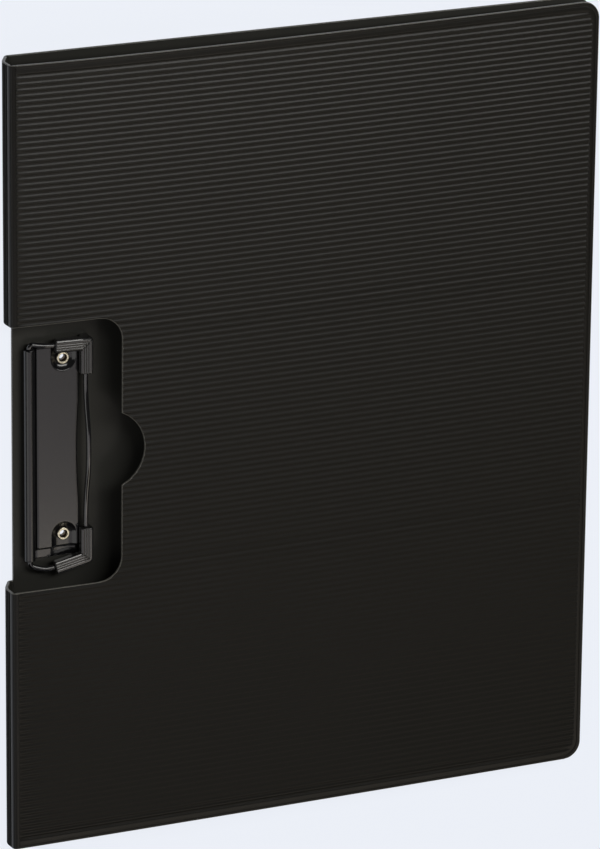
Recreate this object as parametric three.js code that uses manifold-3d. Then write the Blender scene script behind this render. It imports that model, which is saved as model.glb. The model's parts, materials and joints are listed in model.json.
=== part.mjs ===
// Clip folder lying on its back cover: a scored plastic sheet that folds into back cover, spine and front
// cover, and a wire-lever clip on two eyelets, reached through a window in the front cover and the spine.
// Millimetres. X runs from the spine to the fore-edge, Y up the page, Z out of the page. The origin is
// under the middle of the folder, on the surface that it lies on.
import * as THREE from "three";
import { mergeVertices } from "three/addons/utils/BufferGeometryUtils.js";
import Module from "manifold-3d";

const wasm = await Module();
wasm.setup();

// Driving dimensions of the folded sheet. X is counted from the front crease's axis.
const coverWidth = 240;
const coverHeight = 310;
const sheet = 1.2;
const cornerRadius = 7;
const spineDepth = 14.5;
const foreEdgeDepth = 8.8;
const rearCreaseInset = 3;
const ridgeOut = 0.9;
const ridgeHeight = 7.6;
const ridgeRadius = 2.5;
const bulgeAtTop = 3.3;
const bulgeAtBottom = 0.4;
const bulgeSkew = 0.75;

// The window and its finger notch
const windowHeight = 105;
const windowWidth = 43.3;
const windowCentreY = 1.7;
const windowCornerRadius = 9.3;
const notchChord = 28.6;
const notchDepth = 9.2;
const notchCentreY = 1.4;

// The clip's pressed plate, with the rolled channel along its spine side
const plateThickness = 0.8;
const plateLength = 84;
const plateCentreY = -0.6;
const plateRise = 2.2;
const plateLeft = 14.2;
const plateRight = 30.5;
const plateBendRadius = 0.9;
const waistLength = 40;
const waistDepth = 0.7;
const footLength = 3.4;

// The wire lever
const wireRadius = 1;
const hingeX = 10.3;
const legLength = 24;
const hingeBendRadius = 1.8;
const armBendRadius = 3;
const cornerBendRadius = 3;
const upperArmY = 43.3;
const lowerArmY = -44.7;
const upperSleeveStart = [20, 42.2];
const lowerSleeveStart = [19.8, -46];
const upperCorner = [32.5, 41.9];
const lowerCorner = [32.4, -43.2];
const armRise = 1.1;
const bowHalfLength = 21;
const bowRise = 2;
const bowOut = 0.5;
const bowCentreY = 0;

// The plastic sleeves on the wire's corners
const sleeveWidth = 5;
const sleeveCover = 1.4;
const sleeveReach = 11.8;

// The eyelets and the recesses round them
const eyeletX = 24.1;
const eyeletY = [36.4, -33.7];
const eyeletBore = 1.1;
const eyeletWall = 0.45;
const eyeletHeadRadius = 2.6;
const eyeletHeadRise = 0.7;
const eyeletTail = 0.35;
const recessRadius = 4.2;
const recessSlope = 0.8;

// Clearances: between still pieces that touch, and round the wire where it turns
const gap = 0.3;
const turningGap = 0.4;

// Fineness of round shapes
const ARC_STEPS = 10;
const WIRE_SIDES = 10;
const WIRE_STEPS = 130;
const BORE_SIDES = 24;
const BORE_STEPS = 30;
const COVER_COLUMNS = 24;
const COVER_ROWS = 12;

// How far a cutting shape reaches past what it cuts
const PAST = 5;

// The window's two ends, where it parts the spine
const windowTop = windowCentreY + windowHeight / 2;
const windowBottom = windowCentreY - windowHeight / 2;

// Heights that follow from the sheet and the clearances
const innerFace = sheet;
const footBottom = innerFace + gap;
const footTop = footBottom + plateThickness;
const plateTop = footBottom + plateRise;
const channelInner = wireRadius + turningGap;
const channelMiddle = channelInner + plateThickness / 2;
const channelOuter = channelInner + plateThickness;
const hingeZ = footBottom + channelOuter;
const wireZ = hingeZ + armRise;
const creaseGap = sheet / 2 + gap;
const holeRadius = eyeletBore + eyeletWall + gap;
const frontAxis = [0, spineDepth - sheet / 2];
const rearAxis = [rearCreaseInset, sheet / 2];

// A closed geometry as a solid for cutting and joining: only its positions are kept and merged.
function solid(geometry) {
  const bare = geometry.clone();
  for (const name of Object.keys(bare.attributes)) {
    if (name !== "position") bare.deleteAttribute(name);
  }
  const merged = mergeVertices(bare, 1e-4);
  return new wasm.Manifold(
    new wasm.Mesh({
      numProp: 3,
      vertProperties: new Float32Array(merged.attributes.position.array),
      triVerts: new Uint32Array(merged.index.array),
    }),
  );
}

function geometryOf(body) {
  const mesh = body.getMesh();
  const positions = new Float32Array(mesh.numVert * 3);
  for (let i = 0; i < mesh.numVert; i++) {
    for (let k = 0; k < 3; k++) positions[i * 3 + k] = mesh.vertProperties[i * mesh.numProp + k];
  }
  const geometry = new THREE.BufferGeometry();
  geometry.setAttribute("position", new THREE.BufferAttribute(positions, 3));
  geometry.setIndex(new THREE.BufferAttribute(new Uint32Array(mesh.triVerts), 1));
  const faceted = geometry.toNonIndexed();
  faceted.computeVertexNormals();
  return faceted;
}

// A flat outline raised from bottom to top
function prism(shape, bottom, top) {
  const settings = { depth: top - bottom, bevelEnabled: false, curveSegments: ARC_STEPS };
  return new THREE.ExtrudeGeometry(shape, settings).translate(0, 0, bottom);
}

// A cross-section in X and Z carried along Y
function run(shape, low, high) {
  const settings = { depth: high - low, bevelEnabled: false, curveSegments: ARC_STEPS };
  return new THREE.ExtrudeGeometry(shape, settings).rotateX(Math.PI / 2).translate(0, high, 0);
}

function block(low, high) {
  const size = high.map((value, i) => value - low[i]);
  const middle = high.map((value, i) => (value + low[i]) / 2);
  return new THREE.BoxGeometry(...size).translate(...middle);
}

// The line through some points with its corners rounded, as points; radii holds one radius a corner
function roundedLine(points, radii) {
  const corners = points.map(([x, y]) => new THREE.Vector2(x, y));
  const line = [corners[0]];
  for (let i = 1; i < corners.length - 1; i++) {
    const before = corners[i - 1].clone().sub(corners[i]).normalize();
    const after = corners[i + 1].clone().sub(corners[i]).normalize();
    const half = Math.acos(THREE.MathUtils.clamp(before.dot(after), -1, 1)) / 2;
    const reach = radii[i - 1] / Math.tan(half);
    const start = corners[i].clone().addScaledVector(before, reach);
    const end = corners[i].clone().addScaledVector(after, reach);
    const middle = before.clone().add(after).normalize();
    const centre = corners[i].clone().addScaledVector(middle, radii[i - 1] / Math.sin(half));
    const from = start.clone().sub(centre).angle();
    let turn = end.clone().sub(centre).angle() - from;
    if (turn > Math.PI) turn -= 2 * Math.PI;
    if (turn < -Math.PI) turn += 2 * Math.PI;
    for (let k = 0; k <= ARC_STEPS / 2; k++) {
      const angle = from + (turn * k) / (ARC_STEPS / 2);
      line.push(new THREE.Vector2(radii[i - 1], 0).rotateAround(new THREE.Vector2(), angle).add(centre));
    }
  }
  line.push(corners[corners.length - 1]);
  return line;
}

// A strip of one thickness along a line, as an outline; round ends are centred on the line's ends
function strip(line, thickness, roundEnds) {
  const half = thickness / 2;
  const side = (sign) =>
    line.map((point, i) => {
      const back = line[Math.max(i - 1, 0)];
      const next = line[Math.min(i + 1, line.length - 1)];
      const into = point.clone().sub(back).normalize();
      const out = next.clone().sub(point).normalize();
      const along = into.clone().add(out).normalize();
      const stretch = 1 / Math.max(along.dot(out.lengthSq() > 0 ? out : into), 0.5);
      return new THREE.Vector2(-along.y, along.x).multiplyScalar(sign * half * stretch).add(point);
    });
  const cap = (end, neighbour) => {
    const away = end.clone().sub(neighbour).angle();
    const points = [];
    for (let k = 1; k < ARC_STEPS; k++) {
      const angle = away + Math.PI / 2 - (Math.PI * k) / ARC_STEPS;
      points.push(new THREE.Vector2(half, 0).rotateAround(new THREE.Vector2(), angle).add(end));
    }
    return points;
  };
  const left = side(1);
  const right = side(-1).reverse();
  const last = line.length - 1;
  const tip = roundEnds ? cap(line[last], line[last - 1]) : [];
  const tail = roundEnds ? cap(line[0], line[1]) : [];
  return new THREE.Shape([...left, ...tip, ...right, ...tail]);
}

// The folded sheet

// A cover's outline from its crease side to the fore-edge, with the two outer corners rounded
function coverOutline(left) {
  const half = coverHeight / 2;
  const r = cornerRadius;
  const shape = new THREE.Shape();
  shape.moveTo(left, -half);
  shape.lineTo(coverWidth - r, -half);
  shape.absarc(coverWidth - r, -half + r, r, -Math.PI / 2, 0, false);
  shape.lineTo(coverWidth, half - r);
  shape.absarc(coverWidth - r, half - r, r, 0, Math.PI / 2, false);
  shape.lineTo(left, half);
  return shape;
}

// The window's outline, open past the spine, with the notch as an arc through its two ends
function windowOutline() {
  const r = windowCornerRadius;
  const notchRadius = (notchChord ** 2 / 4 + notchDepth ** 2) / (2 * notchDepth);
  const centreX = windowWidth + notchDepth - notchRadius;
  const spread = Math.acos((windowWidth - centreX) / notchRadius);
  const shape = new THREE.Shape();
  shape.moveTo(-ridgeOut - sheet - PAST, windowBottom);
  shape.lineTo(windowWidth - r, windowBottom);
  shape.absarc(windowWidth - r, windowBottom + r, r, -Math.PI / 2, 0, false);
  shape.lineTo(windowWidth, notchCentreY - notchChord / 2);
  shape.absarc(centreX, notchCentreY, notchRadius, -spread, spread, false);
  shape.lineTo(windowWidth, windowTop - r);
  shape.absarc(windowWidth - r, windowTop - r, r, 0, Math.PI / 2, false);
  shape.lineTo(-ridgeOut - sheet - PAST, windowTop);
  return shape;
}

// The front cover's outer face: it falls in a straight line from the crease to the fore-edge, and swells
// by a parabola across the cover whose height goes from the bottom edge's value to the top edge's.
function frontFace(x, y) {
  const across = THREE.MathUtils.clamp(x / coverWidth, 0, 1);
  const skewed = across ** bulgeSkew;
  const bulge = THREE.MathUtils.lerp(bulgeAtBottom, bulgeAtTop, y / coverHeight + 0.5);
  return THREE.MathUtils.lerp(spineDepth, foreEdgeDepth, across) + bulge * 4 * skewed * (1 - skewed);
}

function frontCover() {
  const left = creaseGap;
  const high = coverHeight / 2;
  const columns = COVER_COLUMNS + 1;
  const rows = COVER_ROWS + 1;
  const layer = columns * rows;
  const points = [];
  for (const drop of [0, sheet]) {
    for (let j = 0; j < rows; j++) {
      for (let i = 0; i < columns; i++) {
        const x = THREE.MathUtils.lerp(left, coverWidth, i / COVER_COLUMNS);
        const y = THREE.MathUtils.lerp(-high, high, j / COVER_ROWS);
        points.push(x, y, frontFace(x, y) - drop);
      }
    }
  }
  const faces = [];
  const quad = (a, b, c, d) => faces.push(a, b, c, a, c, d);
  const at = (i, j, under) => j * columns + i + (under ? layer : 0);
  const last = COVER_COLUMNS;
  for (let j = 0; j < COVER_ROWS; j++) {
    for (let i = 0; i < COVER_COLUMNS; i++) {
      quad(at(i, j), at(i + 1, j), at(i + 1, j + 1), at(i, j + 1));
      quad(at(i, j, 1), at(i, j + 1, 1), at(i + 1, j + 1, 1), at(i + 1, j, 1));
    }
    quad(at(0, j, 1), at(0, j), at(0, j + 1), at(0, j + 1, 1));
    quad(at(last, j), at(last, j, 1), at(last, j + 1, 1), at(last, j + 1));
  }
  for (let i = 0; i < COVER_COLUMNS; i++) {
    quad(at(i, 0, 1), at(i + 1, 0, 1), at(i + 1, 0), at(i, 0));
    quad(at(i, COVER_ROWS), at(i + 1, COVER_ROWS), at(i + 1, COVER_ROWS, 1), at(i, COVER_ROWS, 1));
  }
  const slab = new THREE.BufferGeometry();
  slab.setAttribute("position", new THREE.Float32BufferAttribute(points, 3));
  slab.setIndex(faces);
  const above = spineDepth + bulgeAtTop + PAST;
  const outline = solid(prism(coverOutline(left - PAST), -PAST, above));
  const opening = solid(prism(windowOutline(), -PAST, above));
  return geometryOf(solid(slab).intersect(outline).subtract(opening));
}

// The spine's section: from the rear crease's axis over the set ridge to the front crease's axis
function spineOutline() {
  const line = roundedLine([rearAxis, [-ridgeOut, ridgeHeight], frontAxis], [ridgeRadius]);
  return strip(line, sheet, true);
}

function backCover() {
  const left = rearCreaseInset + creaseGap;
  let body = solid(prism(coverOutline(left), 0, sheet));
  for (const y of eyeletY) {
    const hole = new THREE.CylinderGeometry(holeRadius, holeRadius, sheet + 2 * PAST, BORE_SIDES);
    const seatRadius = eyeletHeadRadius + gap;
    const seat = new THREE.CylinderGeometry(seatRadius, seatRadius, 2 * (eyeletTail + gap), BORE_SIDES);
    for (const cutter of [hole, seat]) {
      body = body.subtract(solid(cutter.rotateX(Math.PI / 2).translate(eyeletX, y, 0)));
    }
  }
  return geometryOf(body);
}

// The clip

// The plate's section as one line: lip, deck, groove, and the curl that makes the hinge channel
function plateOutline() {
  const half = plateThickness / 2;
  const low = footBottom + half;
  const deck = plateTop - half;
  const bends = [plateBendRadius, plateBendRadius, plateBendRadius];
  const corners = [
    [plateRight - half, footBottom],
    [plateRight - half, deck],
    [plateLeft + half, deck],
    [hingeX + channelOuter + half, low],
    [hingeX, low],
  ];
  const line = roundedLine(corners, bends);
  const curlEnd = 1.5 * Math.PI;
  const curlSteps = 3 * ARC_STEPS;
  for (let k = 1; k <= curlSteps; k++) {
    const angle = -Math.PI / 2 - (curlEnd * k) / curlSteps;
    const x = hingeX + channelMiddle * Math.cos(angle);
    line.push(new THREE.Vector2(x, hingeZ + channelMiddle * Math.sin(angle)));
  }
  return strip(line, plateThickness, false);
}

// The U-shaped outline of an eyelet's recess, which runs out at the plate's nearer end
function recessOutline(y, radius) {
  const out = Math.sign(y) * (plateLength + PAST);
  const shape = new THREE.Shape();
  shape.moveTo(eyeletX + radius, out);
  shape.lineTo(eyeletX + radius, y);
  shape.absarc(eyeletX, y, radius, 0, y > 0 ? -Math.PI : Math.PI, y > 0);
  shape.lineTo(eyeletX - radius, out);
  return shape;
}

// A solid between two outlines with as many points each, one at the bottom and one at the top
function loft(lowShape, bottom, highShape, top) {
  const loops = [lowShape, highShape].map((shape) => shape.getPoints(ARC_STEPS));
  if (THREE.ShapeUtils.isClockWise(loops[0])) loops.forEach((loop) => loop.reverse());
  const count = loops[0].length;
  const points = [];
  loops.forEach((loop, k) => loop.forEach((p) => points.push(p.x, p.y, k ? top : bottom)));
  const faces = [];
  for (const [a, b, c] of THREE.ShapeUtils.triangulateShape(loops[0], [])) {
    faces.push(c, b, a, a + count, b + count, c + count);
  }
  for (let i = 0; i < count; i++) {
    const next = (i + 1) % count;
    faces.push(i, next, next + count, i, next + count, i + count);
  }
  const geometry = new THREE.BufferGeometry();
  geometry.setAttribute("position", new THREE.Float32BufferAttribute(points, 3));
  geometry.setIndex(faces);
  return geometry;
}

function basePlate() {
  const low = plateCentreY - plateLength / 2;
  const high = plateCentreY + plateLength / 2;
  let body = solid(run(plateOutline(), low, high));
  const envelope = solid(block([plateLeft, low, footBottom], [plateRight, high, plateTop]));
  const floor = recessRadius;
  const rim = recessRadius + recessSlope;
  for (const y of eyeletY) {
    const wall = plateThickness;
    const shell = loft(recessOutline(y, floor + wall), footBottom, recessOutline(y, rim + wall), plateTop);
    const hollow = loft(recessOutline(y, floor), footTop, recessOutline(y, rim + gap), plateTop + gap);
    body = body.add(solid(shell).intersect(envelope)).subtract(solid(hollow));
  }
  const footEnd = low + footLength;
  const foot = block([plateLeft, low, footBottom], [plateRight, footEnd + plateThickness, plateTop]);
  const cut = block([plateLeft, low - PAST, footTop], [plateRight + PAST, footEnd, plateTop + PAST]);
  body = body.add(solid(foot)).subtract(solid(cut));
  for (const y of eyeletY) {
    const hole = new THREE.CylinderGeometry(holeRadius, holeRadius, plateTop + PAST, BORE_SIDES);
    body = body.subtract(solid(hole.rotateX(Math.PI / 2).translate(eyeletX, y, footBottom)));
  }
  const waistRadius = (waistLength ** 2 / 4 + waistDepth ** 2) / (2 * waistDepth);
  const waist = new THREE.CylinderGeometry(waistRadius, waistRadius, plateTop + PAST, 12 * BORE_SIDES);
  waist.rotateX(Math.PI / 2).translate(plateRight - waistDepth + waistRadius, plateCentreY, plateTop / 2);
  return geometryOf(body.subtract(solid(waist)));
}

// A hollow rivet: a domed head on the plate's recess, a barrel, and a tail turned out in the cover's seat
function eyelet(y) {
  const barrel = eyeletBore + eyeletWall;
  const headBottom = footTop + gap;
  const headTop = headBottom + eyeletHeadRise;
  const profile = new THREE.Path();
  profile.moveTo(eyeletBore, 0);
  profile.lineTo(eyeletHeadRadius, 0);
  profile.lineTo(eyeletHeadRadius, eyeletTail);
  profile.lineTo(barrel, eyeletTail);
  profile.lineTo(barrel, headBottom);
  profile.lineTo(eyeletHeadRadius, headBottom);
  profile.quadraticCurveTo(eyeletHeadRadius, headTop, (barrel + eyeletHeadRadius) / 2, headTop);
  profile.quadraticCurveTo(eyeletBore, headTop, eyeletBore, headBottom);
  const points = profile.getPoints(ARC_STEPS / 2);
  points.push(points[0].clone());
  return new THREE.LatheGeometry(points, BORE_SIDES).rotateX(Math.PI / 2).translate(eyeletX, y, 0);
}

// A point further out from a corner than a given one, by a length
function beyond(point, corner, length) {
  const away = new THREE.Vector2(...point).sub(new THREE.Vector2(...corner)).setLength(length);
  return [point[0] + away.x, point[1] + away.y];
}

// The wire's centre line: leg in the channel, arm, bowed bar, arm and leg, with its bends rounded
function wireLine() {
  const at = (x, y, z) => new THREE.Vector3(x, y, z);
  const [upX, upY] = upperCorner;
  const [lowX, lowY] = lowerCorner;
  const barX = (upX + lowX) / 2;
  const lead = armBendRadius + gap;
  return [
    [at(hingeX, upperArmY - legLength, hingeZ), 0],
    [at(hingeX, upperArmY, hingeZ), hingeBendRadius],
    [at(...beyond(upperSleeveStart, upperCorner, lead), wireZ), armBendRadius],
    [at(upX, upY, wireZ), cornerBendRadius],
    [at(barX, bowCentreY + bowHalfLength, wireZ), bowHalfLength / 3],
    [at(barX + bowOut, bowCentreY + bowHalfLength / 3, wireZ + bowRise), bowHalfLength / 4],
    [at(barX + bowOut, bowCentreY - bowHalfLength / 3, wireZ + bowRise), bowHalfLength / 4],
    [at(barX, bowCentreY - bowHalfLength, wireZ), bowHalfLength / 3],
    [at(lowX, lowY, wireZ), cornerBendRadius],
    [at(...beyond(lowerSleeveStart, lowerCorner, lead), wireZ), armBendRadius],
    [at(hingeX, lowerArmY, hingeZ), hingeBendRadius],
    [at(hingeX, lowerArmY + legLength, hingeZ), 0],
  ];
}

// A curve along corners, each with the length of its neighbours that its bend takes
function bentCurve(corners) {
  const curve = new THREE.CurvePath();
  let last = corners[0][0];
  for (let i = 1; i < corners.length - 1; i++) {
    const [corner, reach] = corners[i];
    const toward = corners[i - 1][0].clone().sub(corner).normalize();
    const onward = corners[i + 1][0].clone().sub(corner).normalize();
    const start = corner.clone().addScaledVector(toward, reach);
    const end = corner.clone().addScaledVector(onward, reach);
    curve.add(new THREE.LineCurve3(last, start));
    curve.add(new THREE.QuadraticBezierCurve3(start, corner, end));
    last = end;
  }
  curve.add(new THREE.LineCurve3(last, corners[corners.length - 1][0]));
  return curve;
}

function tube(curve, radius, steps) {
  const section = new THREE.Shape();
  section.absarc(0, 0, radius, 0, 2 * Math.PI, false);
  const settings = { steps, extrudePath: curve, curveSegments: WIRE_SIDES / 2, bevelEnabled: false };
  return new THREE.ExtrudeGeometry(section, settings);
}

function wireLever() {
  return tube(bentCurve(wireLine()), wireRadius, WIRE_STEPS);
}

// An L-shaped sleeve round a corner of the wire: its plan follows the wire's two runs at the corner. It is
// deep where it presses on the cover beyond the plate, and shallow over the plate.
function sleeve(armStart, corner) {
  const down = Math.sign(corner[1]);
  const barEnd = [corner[0], corner[1] - down * sleeveReach];
  const plan = [armStart, corner, barEnd].map((point) => new THREE.Vector2(...point));
  const top = wireZ + wireRadius + sleeveCover;
  const bottom = innerFace + gap;
  let body = solid(prism(strip(plan, sleeveWidth, false), bottom, top));
  const overPlate = block(
    [hingeX, corner[1] - sleeveReach - PAST, -PAST],
    [plateRight + gap, corner[1] + sleeveReach + PAST, plateTop + gap],
  );
  const at = (point) => new THREE.Vector3(...point, wireZ);
  const bore = bentCurve([
    [at(beyond(armStart, corner, PAST)), 0],
    [at(corner), cornerBendRadius],
    [at([corner[0], corner[1] - down * (sleeveReach + PAST)]), 0],
  ]);
  body = body.subtract(solid(overPlate)).subtract(solid(tube(bore, wireRadius + gap, BORE_STEPS)));
  return geometryOf(body);
}

const blackSheet = new THREE.MeshStandardMaterial({ color: 0x1f1f1d, roughness: 0.45, metalness: 0 });
const blackPlate = new THREE.MeshStandardMaterial({ color: 0x141416, roughness: 0.18, metalness: 0.2 });
const blackWire = new THREE.MeshStandardMaterial({ color: 0x101012, roughness: 0.2, metalness: 0.3 });
const greySleeve = new THREE.MeshStandardMaterial({ color: 0x2b2b2b, roughness: 0.5, metalness: 0 });
const eyeletMetal = new THREE.MeshStandardMaterial({ color: 0xc9c4b2, roughness: 0.25, metalness: 1 });

function piece(name, geometry, material) {
  const mesh = new THREE.Mesh(geometry, material);
  mesh.name = name;
  return mesh;
}

const spineShape = spineOutline();
const halfHeight = coverHeight / 2;
const folder = new THREE.Group();
folder.add(
  piece("back_cover", backCover(), blackSheet),
  piece("spine_upper", run(spineShape, windowTop, halfHeight), blackSheet),
  piece("spine_lower", run(spineShape, -halfHeight, windowBottom), blackSheet),
  piece("front_cover", frontCover(), blackSheet),
  piece("base_plate", basePlate(), blackPlate),
  piece("wire_lever", wireLever(), blackWire),
  piece("upper_sleeve", sleeve(upperSleeveStart, upperCorner), greySleeve),
  piece("lower_sleeve", sleeve(lowerSleeveStart, lowerCorner), greySleeve),
  piece("upper_eyelet", eyelet(eyeletY[0]), eyeletMetal),
  piece("lower_eyelet", eyelet(eyeletY[1]), eyeletMetal),
);

// The group is shifted so that the origin is under the middle of the folder.
const leftmost = Math.min(...spineShape.getPoints().map((point) => point.x));
folder.position.x = -(leftmost + coverWidth) / 2;
const clipFolder = new THREE.Group();
clipFolder.add(folder);

export default clipFolder;
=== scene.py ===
"""Finished surfaces of a clip folder: an embossed black sheet folded into two covers and a spine, and a
wire-lever clip on two eyelets. Metres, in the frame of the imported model: X from the spine to the
fore-edge, Y up the page, Z out of the page."""

import json
import math

import bpy
import numpy as np
from mathutils import Matrix, Vector


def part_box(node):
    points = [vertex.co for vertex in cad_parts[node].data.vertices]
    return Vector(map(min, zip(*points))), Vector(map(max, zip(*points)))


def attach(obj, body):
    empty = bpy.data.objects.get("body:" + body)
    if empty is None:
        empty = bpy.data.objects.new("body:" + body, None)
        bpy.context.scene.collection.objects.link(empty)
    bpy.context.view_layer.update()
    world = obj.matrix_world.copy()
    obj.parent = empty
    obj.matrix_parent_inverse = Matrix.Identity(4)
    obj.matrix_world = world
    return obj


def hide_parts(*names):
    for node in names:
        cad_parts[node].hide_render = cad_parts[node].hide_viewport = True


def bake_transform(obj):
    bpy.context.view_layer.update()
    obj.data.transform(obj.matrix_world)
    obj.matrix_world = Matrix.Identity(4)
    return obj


bl_info = {
    "name": "Clip Folder",
    "version": (1, 0, 0),
    "blender": (4, 5, 0),
    "location": "View3D > Sidebar > Clip Folder",
    "description": "Builds the finished surfaces of a clip folder round its packed model",
    "category": "Object",
}

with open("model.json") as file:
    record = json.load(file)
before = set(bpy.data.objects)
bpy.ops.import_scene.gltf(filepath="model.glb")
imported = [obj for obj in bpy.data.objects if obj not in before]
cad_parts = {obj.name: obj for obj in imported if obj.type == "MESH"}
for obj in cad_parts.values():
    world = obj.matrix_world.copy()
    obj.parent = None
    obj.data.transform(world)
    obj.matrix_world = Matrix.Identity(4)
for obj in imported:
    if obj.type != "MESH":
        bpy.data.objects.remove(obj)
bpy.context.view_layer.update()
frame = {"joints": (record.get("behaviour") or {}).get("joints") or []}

MM = 0.001
AXES = {joint["name"]: Vector(joint["pos_m"]) for joint in frame["joints"]}
REAR = AXES["rear_crease"]
FRONT = AXES["front_crease"]
LEVER = AXES["lever_hinge"]
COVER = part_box("front_cover")
UPPER_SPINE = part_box("spine_upper")
LOWER_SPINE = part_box("spine_lower")
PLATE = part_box("base_plate")
SLEEVES = {name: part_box(name) for name in ("upper_sleeve", "lower_sleeve")}
EYELETS = {name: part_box(name) for name in ("upper_eyelet", "lower_eyelet")}
EYELET_CENTRES = [((low.x + high.x) / 2, (low.y + high.y) / 2) for low, high in EYELETS.values()]

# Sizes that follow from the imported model; X in these is counted from the front crease's axis
SHEET = 2 * REAR.z
SPINE_DEPTH = FRONT.z + SHEET / 2
FORE_EDGE_DEPTH = COVER[0].z + SHEET
COVER_WIDTH = COVER[1].x - FRONT.x
HALF_HEIGHT = COVER[1].y
WINDOW_TOP = UPPER_SPINE[0].y
WINDOW_BOTTOM = LOWER_SPINE[1].y


# Colours and settings

def linear(code):
    """A colour written as an sRGB hex value, as linear red, green, blue and alpha."""
    values = [int(code[k:k + 2], 16) / 255 for k in (1, 3, 5)]
    return [v / 12.92 if v <= 0.04045 else ((v + 0.055) / 1.055) ** 2.4 for v in values] + [1.0]


def size_prop(name, description, default):
    return bpy.props.FloatProperty(
        name=name, description=description, default=default, unit="LENGTH", precision=5
    )


def colour_prop(name, description, default):
    return bpy.props.FloatVectorProperty(
        name=name, description=description, default=linear(default), subtype="COLOR", size=4
    )


def angle_prop(name, description, degrees):
    return bpy.props.FloatProperty(
        name=name, description=description, default=math.radians(degrees), subtype="ANGLE"
    )


class SheetSettings(bpy.types.PropertyGroup):
    """The folded sheet: its swell, ribs, creases and edges."""

    bulge_top: size_prop("Swell at top", "How far the front cover swells along its top edge", 3.3 * MM)
    bulge_bottom: size_prop("Swell at bottom", "The same along the bottom edge", 0.4 * MM)
    bulge_skew: bpy.props.FloatProperty(
        name="Swell skew", description="Below 1 the swell lies nearer to the crease", default=0.75
    )
    corner_radius: size_prop("Corner radius", "Radius of the fore-edge corners", 7 * MM)
    edge_radius: size_prop("Edge radius", "Rounding of the die-cut edges", 0.28 * MM)
    rib_pitch: size_prop("Rib pitch", "Distance from one embossed rib to the next", 2.27 * MM)
    rib_height: size_prop("Rib height", "Depth of the grooves between ribs", 0.3 * MM)
    side_border: size_prop("Side border", "Smooth border along the fore-edge", 2.7 * MM)
    end_border: size_prop("End border", "Smooth border along the top and the bottom", 3.2 * MM)
    line_inset: size_prop("Line inset", "From the outline to the fine line in the border", 1.3 * MM)
    line_width: size_prop("Line width", "Half width of the fine line", 0.4 * MM)
    bend_reach: size_prop("Bend reach", "How far a crease's bend takes of either panel", 1.6 * MM)
    hinge_thickness: size_prop("Hinge thickness", "Sheet left in the middle of a crease", 0.6 * MM)
    score_depth: size_prop("Score depth", "Depth of the score lines on the spine", 0.3 * MM)
    score_width: size_prop("Score width", "Half width of a score line", 0.3 * MM)
    outer_colour: colour_prop("Outer colour", "Embossed outer face", "#100f0b")
    # Inner colour: the near-black sheet lightened to dark grey, a painted sheen of the inner face's soft
    # reflection.
    inner_colour: colour_prop("Inner colour", "Polished inner face", "#393936")
    # Edge colour: paler than the torn cut alone, as it also paints in the highlight that light lays along the
    # edges.
    edge_colour: colour_prop("Edge colour", "Die-cut edge", "#5f5e58")


class WindowSettings(bpy.types.PropertyGroup):
    """The window in the front cover and the finger notch in its edge."""

    width: size_prop("Window width", "From the front crease's axis to the window's side", 43.3 * MM)
    corner_radius: size_prop("Corner radius", "Radius of the window's corners", 9.3 * MM)
    notch_chord: size_prop("Notch chord", "Length of the notch along the window's side", 28.6 * MM)
    notch_depth: size_prop("Notch depth", "Depth of the notch", 9.2 * MM)
    notch_centre: size_prop("Notch centre", "Height of the notch's middle", 1.4 * MM)


class ClipSettings(bpy.types.PropertyGroup):
    """The clip's pressed plate, bent wire, sleeves and eyelets."""

    plate_thickness: size_prop("Plate thickness", "Thickness of the pressed plate", 0.8 * MM)
    plate_left: size_prop("Deck's left edge", "From the front crease's axis", 13.4 * MM)
    bend_radius: size_prop("Bend radius", "Reach of the plate's bends", 0.6 * MM)
    recess_radius: size_prop("Recess radius", "Rim of the dish round an eyelet", 4.9 * MM)
    dish_floor: size_prop("Dish floor", "Flat floor of the dish under the eyelet", 2 * MM)
    foot_length: size_prop("Foot length", "Length of the low foot", 3.4 * MM)
    waist_length: size_prop("Waist length", "Length of the waist in the right edge", 40 * MM)
    waist_depth: size_prop("Waist depth", "Depth of the waist", 0.7 * MM)
    wire_radius: size_prop("Wire radius", "Radius of the lever's wire", 1 * MM)
    sleeve_width: size_prop("Sleeve width", "Width of a sleeve's two arms", 5 * MM)
    sleeve_height: size_prop("Sleeve height", "Height of a sleeve over the plate", 3.2 * MM)
    groove_depth: size_prop("Groove depth", "Depth of the grooves along a sleeve", 0.14 * MM)
    groove_width: size_prop("Groove width", "Half width of a groove", 0.32 * MM)
    bore: size_prop("Eyelet bore", "Radius of an eyelet's bore", 1.1 * MM)
    eyelet_wall: size_prop("Eyelet wall", "Wall of an eyelet's barrel", 0.45 * MM)
    seat_depth: size_prop("Seat depth", "Depth of the seat for an eyelet's tail", 0.65 * MM)
    deck_rise: size_prop("Deck rise", "From a sleeve's underside to the deck's top", 2.2 * MM)
    sleeve_gap: size_prop("Sleeve gap", "From the plate's underside to a sleeve over it", 2.5 * MM)
    plate_colour: colour_prop("Plate colour", "Black lacquer on the plate", "#141416")
    wire_colour: colour_prop("Wire colour", "Black lacquer on the wire", "#0e0e10")
    sleeve_colour: colour_prop("Sleeve colour", "Grey-black sleeves", "#191918")
    eyelet_colour: colour_prop("Eyelet colour", "Nickel-plated brass", "#ddd8c4")
    # The brown is both tarnish in spots and painted shade below the eyelets' crests.
    tarnish_colour: colour_prop("Tarnish colour", "Brown tarnish in the low places", "#4a3c2a")


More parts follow.
